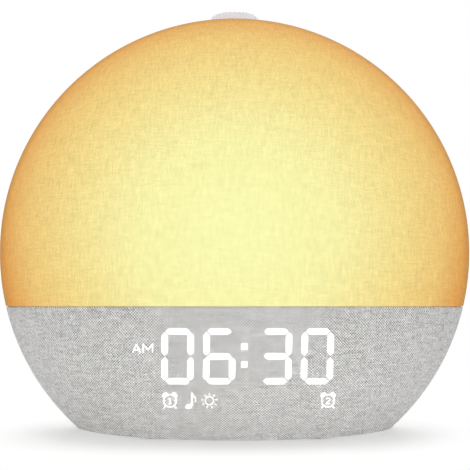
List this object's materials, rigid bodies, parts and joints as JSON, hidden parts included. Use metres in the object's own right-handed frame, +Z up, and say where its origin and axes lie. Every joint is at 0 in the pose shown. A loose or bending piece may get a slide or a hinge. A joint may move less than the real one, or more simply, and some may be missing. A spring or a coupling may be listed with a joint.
{
  "type": "sunrise alarm clock",
  "caption": "Sunrise alarm clock: round fabric-covered dome lamp over a grey fabric base with a hidden display, a fluted press knob on top, rear buttons and a speaker.",
  "frame": {"origin": "on the ground under the middle of the body, midway between the front of the dome and the faces of the rear buttons", "axes": "+Z up, front faces -Y, +X to the right of someone who faces the clock"},
  "size_m": [0.168, 0.088, 0.1547],
  "materials": {
    "lamp_linen": "woven linen over the lamp, lit from inside",
    "grey_linen": "woven grey linen, stretched and bonded",
    "opal_plastic": "opal, passes light",
    "white_abs": "fine matt",
    "housing_plastic": "fine spark texture",
    "knob_plastic": "satin",
    "button_plastic": "satin",
    "grille_plastic": "fine matt",
    "foam_rubber": "closed foam",
    "pressed_steel": "plated",
    "cone_paper": "pressed paper",
    "ferrite": "sintered",
    "film": "smoked diffusing film",
    "shaft_steel": "turned",
    "brass_nut": "nickel on brass",
    "black_plastic": "moulded",
    "pin_brass": "turned",
    "cell_steel": "plated",
    "capacitor_aluminium": "drawn can",
    "led_plastic": "phosphor",
    "green_board": "solder mask",
    "white_board": "white solder mask",
    "screw_steel": "zinc plated",
    "foot_rubber": "moulded"
  },
  "bodies": {
    "root": {"amplifier_chip": "black_plastic", "base_fabric": "grey_linen", "base_screws": "screw_steel", "base_shell": "white_abs", "bottom_plate": "housing_plastic", "button_board": "green_board", "button_board_screws": "screw_steel", "capacitors": "capacitor_aluminium", "cell_holder": "black_plastic", "chassis": "white_abs", "coin_cell": "cell_steel", "controller_chip": "black_plastic", "dc_jack": "black_plastic", "dc_jack_pin": "pin_brass", "display_block": "white_abs", "display_board": "green_board", "display_film": "film", "display_leds": "led_plastic", "divider_shelf": "white_abs", "encoder_board": "green_board", "encoder_body": "pressed_steel", "encoder_nut": "brass_nut", "foot_front_left": "foot_rubber", "foot_front_right": "foot_rubber", "foot_rear_left": "foot_rubber", "foot_rear_right": "foot_rubber", "lamp_diffuser": "opal_plastic", "lamp_fabric": "lamp_linen", "lamp_leds": "led_plastic", "led_board": "white_board", "led_screws": "screw_steel", "main_board": "green_board", "main_board_screws": "screw_steel", "rear_housing": "housing_plastic", "rear_screws": "screw_steel", "reflector": "white_abs", "speaker_cone": "cone_paper", "speaker_frame": "pressed_steel", "speaker_gasket": "foam_rubber", "speaker_grille": "grille_plastic", "speaker_magnet": "ferrite", "speaker_screws": "screw_steel", "tact_switches": "black_plastic"},
    "plunger": {"encoder_plunger": "white_abs"},
    "knob": {"knob": "knob_plastic", "encoder_shaft": "shaft_steel"},
    "push_clock_set": {"button_clock_set": "button_plastic", "stem_clock_set": "black_plastic"},
    "push_alarm_1": {"button_alarm_1": "button_plastic", "stem_alarm_1": "black_plastic"},
    "push_alarm_2": {"button_alarm_2": "button_plastic", "stem_alarm_2": "black_plastic"},
    "push_sound": {"button_sound": "button_plastic", "stem_sound": "black_plastic"},
    "push_light": {"button_light": "button_plastic", "stem_light": "black_plastic"},
    "push_display_dim": {"button_display_dim": "button_plastic", "stem_display_dim": "black_plastic"}
  },
  "joints": [
    {"name": "knob_press", "type": "slide", "parent": "root", "child": "plunger", "axis": [0, 0, -1], "range_m": [0, 0.0005], "stiffness_N_per_m": 800, "springref_m": -0.004},
    {"name": "knob_turn", "type": "hinge", "parent": "plunger", "child": "knob", "pos_m": [0, 0.0254, 0.14], "axis": [0, 0, 1], "continuous": true},
    {"name": "press_clock_set", "type": "slide", "parent": "root", "child": "push_clock_set", "axis": [0, -1, 0], "range_m": [0, 0.0006], "stiffness_N_per_m": 400, "springref_m": -0.002},
    {"name": "press_alarm_1", "type": "slide", "parent": "root", "child": "push_alarm_1", "axis": [0, -1, 0], "range_m": [0, 0.0006], "stiffness_N_per_m": 400, "springref_m": -0.002},
    {"name": "press_alarm_2", "type": "slide", "parent": "root", "child": "push_alarm_2", "axis": [0, -1, 0], "range_m": [0, 0.0006], "stiffness_N_per_m": 400, "springref_m": -0.002},
    {"name": "press_sound", "type": "slide", "parent": "root", "child": "push_sound", "axis": [0, -1, 0], "range_m": [0, 0.0006], "stiffness_N_per_m": 400, "springref_m": -0.002},
    {"name": "press_light", "type": "slide", "parent": "root", "child": "push_light", "axis": [0, -1, 0], "range_m": [0, 0.0006], "stiffness_N_per_m": 400, "springref_m": -0.002},
    {"name": "press_display_dim", "type": "slide", "parent": "root", "child": "push_display_dim", "axis": [0, -1, 0], "range_m": [0, 0.0006], "stiffness_N_per_m": 400, "springref_m": -0.002}
  ]
}
